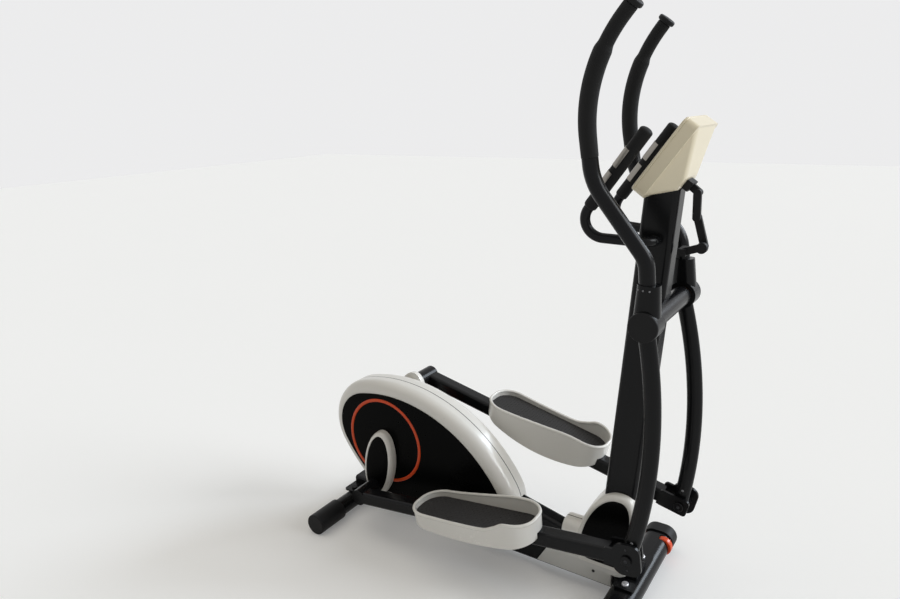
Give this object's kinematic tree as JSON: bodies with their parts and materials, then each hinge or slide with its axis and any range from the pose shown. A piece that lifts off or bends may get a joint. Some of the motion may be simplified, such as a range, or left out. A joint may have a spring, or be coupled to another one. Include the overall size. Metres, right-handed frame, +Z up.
{
  "type": "elliptical trainer",
  "caption": "Rear-drive elliptical trainer with moving and fixed handlebars, foot cups on crank-driven arms, a covered flywheel drive, a console mast and stabilizer feet.",
  "frame": {"origin": "on the floor, at the middle of the machine's outline", "axes": "+X forwards, from the drive housing to the console; +Y to the user's left; +Z up"},
  "size_m": [1.2083, 0.544, 1.5792],
  "materials": {
    "frame_paint": "satin",
    "shell_white": "gloss",
    "panel_black": "gloss",
    "accent_orange": "gloss",
    "cap_black": "satin",
    "grip_foam": "matte",
    "mat_grey": "matte",
    "bright_steel": "brushed",
    "bronze": "satin",
    "cast_iron": "machined",
    "pulley_plastic": "matte",
    "belt_rubber": "matte",
    "display_glass": "gloss",
    "button_grey": "matte"
  },
  "bodies": {
    "base": {"base_frame": "frame_paint", "rear_stabilizer": "frame_paint", "rear_end_caps": "cap_black", "front_stabilizer": "frame_paint", "front_end_caps": "cap_black", "frame_bolts": "bright_steel", "mast": "frame_paint", "mast_cover_right": "shell_white", "mast_cover_left": "shell_white", "mast_discs": "panel_black", "housing_right": "shell_white", "housing_left": "shell_white", "side_panels": "panel_black", "accent_rings": "accent_orange", "drive_bearings": "bright_steel", "drive_belt": "belt_rubber", "brake_servo": "cap_black", "pivot_axle": "bright_steel", "pivot_bushes": "bronze", "fixed_handlebar": "frame_paint", "pulse_grips": "grip_foam", "pulse_sensors": "bright_steel", "console_back": "shell_white", "console_face": "panel_black", "console_display": "display_glass", "holder_clamp": "cap_black"},
    "crank": {"crank_axle": "bright_steel", "drive_pulley": "pulley_plastic", "crank_arms": "bright_steel", "crank_covers": "shell_white", "crank_inserts": "panel_black"},
    "flywheel": {"flywheel": "cast_iron"},
    "brake": {"brake_bracket": "bright_steel"},
    "swing_right": {"swing_arm_right": "frame_paint", "handlebar_right": "frame_paint", "handle_grip_right": "grip_foam", "grip_cap_right": "cap_black", "pivot_cap_right": "cap_black"},
    "lower_pin_right": {"lower_pin_right": "frame_paint"},
    "pedal_right": {"pedal_arm_right": "frame_paint", "pedal_right": "shell_white", "pedal_mat_right": "mat_grey"},
    "transport_wheel_right": {"transport_wheel_right": "accent_orange"},
    "swing_left": {"swing_arm_left": "frame_paint", "handlebar_left": "frame_paint", "handle_grip_left": "grip_foam", "grip_cap_left": "cap_black", "pivot_cap_left": "cap_black"},
    "lower_pin_left": {"lower_pin_left": "frame_paint"},
    "pedal_left": {"pedal_arm_left": "frame_paint", "pedal_left": "shell_white", "pedal_mat_left": "mat_grey"},
    "transport_wheel_left": {"transport_wheel_left": "accent_orange"},
    "button_down": {"button_down": "button_grey"},
    "button_start": {"button_start": "button_grey"},
    "button_up": {"button_up": "button_grey"},
    "holder_upper_link": {"holder_upper_link": "cap_black"},
    "holder_lower_link": {"holder_lower_link": "cap_black"},
    "holder_head": {"holder_head": "cap_black"}
  },
  "joints": [
    {"name": "crank_spin", "type": "hinge", "parent": "base", "child": "crank", "pos_m": [-0.37675, 0, 0.29], "axis": [0, 1, 0], "continuous": true},
    {"name": "flywheel_spin", "type": "hinge", "parent": "base", "child": "flywheel", "pos_m": [-0.11875, 0, 0.238], "axis": [0, 1, 0], "continuous": true},
    {"name": "brake_swing", "type": "hinge", "parent": "base", "child": "brake", "pos_m": [-0.03712, 0, 0.32866], "axis": [0, -1, 0], "range_deg": [0, 6]},
    {"name": "swing_right", "type": "hinge", "parent": "base", "child": "swing_right", "pos_m": [0.51225, -0.154, 0.867], "axis": [0, 1, 0], "range_deg": [-16.1, 12]},
    {"name": "lower_pin_turn_right", "type": "hinge", "parent": "swing_right", "child": "lower_pin_right", "pos_m": [0.50197, -0.154, 0.24308], "axis": [0, 1, 0], "range_deg": [-12, 16.1]},
    {"name": "pedal_pitch_right", "type": "hinge", "parent": "lower_pin_right", "child": "pedal_right", "pos_m": [0.50197, -0.154, 0.24308], "axis": [0, 1, 0], "range_deg": [-0.2, 21]},
    {"name": "wheel_spin_right", "type": "hinge", "parent": "base", "child": "transport_wheel_right", "pos_m": [0.49025, -0.203, 0.046], "axis": [0, 1, 0], "continuous": true},
    {"name": "swing_left", "type": "hinge", "parent": "base", "child": "swing_left", "pos_m": [0.51225, 0.154, 0.867], "axis": [0, 1, 0], "range_deg": [-12, 16.1]},
    {"name": "lower_pin_turn_left", "type": "hinge", "parent": "swing_left", "child": "lower_pin_left", "pos_m": [0.5462, 0.154, 0.24392], "axis": [0, 1, 0], "range_deg": [-16.1, 12]},
    {"name": "pedal_pitch_left", "type": "hinge", "parent": "lower_pin_left", "child": "pedal_left", "pos_m": [0.5462, 0.154, 0.24392], "axis": [0, 1, 0], "range_deg": [-21, 0.2]},
    {"name": "wheel_spin_left", "type": "hinge", "parent": "base", "child": "transport_wheel_left", "pos_m": [0.49025, 0.203, 0.046], "axis": [0, 1, 0], "continuous": true},
    {"name": "button_down_press", "type": "slide", "parent": "base", "child": "button_down", "axis": [0.809, 0, -0.5878], "range_m": [0, 0.0012], "stiffness_N_per_m": 800},
    {"name": "button_start_press", "type": "slide", "parent": "base", "child": "button_start", "axis": [0.809, 0, -0.5878], "range_m": [0, 0.0012], "stiffness_N_per_m": 800},
    {"name": "button_up_press", "type": "slide", "parent": "base", "child": "button_up", "axis": [0.809, 0, -0.5878], "range_m": [0, 0.0012], "stiffness_N_per_m": 800},
    {"name": "holder_shoulder", "type": "hinge", "parent": "base", "child": "holder_upper_link", "pos_m": [0.56949, 0, 1.156], "axis": [0, -1, 0], "range_deg": [0, 60]},
    {"name": "holder_elbow", "type": "hinge", "parent": "holder_upper_link", "child": "holder_lower_link", "pos_m": [0.57117, 0, 1.098], "axis": [0, -1, 0], "range_deg": [0, 60]},
    {"name": "holder_tilt", "type": "hinge", "parent": "holder_lower_link", "child": "holder_head", "pos_m": [0.5911, 0, 1.03], "axis": [0, -1, 0], "range_deg": [0, 60]}
  ],
  "couplings": [
    {"joint": "flywheel_spin", "follows": "crank_spin", "ratio": 7.375},
    {"joint": "swing_left", "follows": "swing_right", "ratio": -1},
    {"joint": "lower_pin_turn_right", "follows": "swing_right", "ratio": -1},
    {"joint": "lower_pin_turn_left", "follows": "swing_right", "ratio": 1},
    {"joint": "pedal_pitch_left", "follows": "pedal_pitch_right", "ratio": -1}
  ]
}
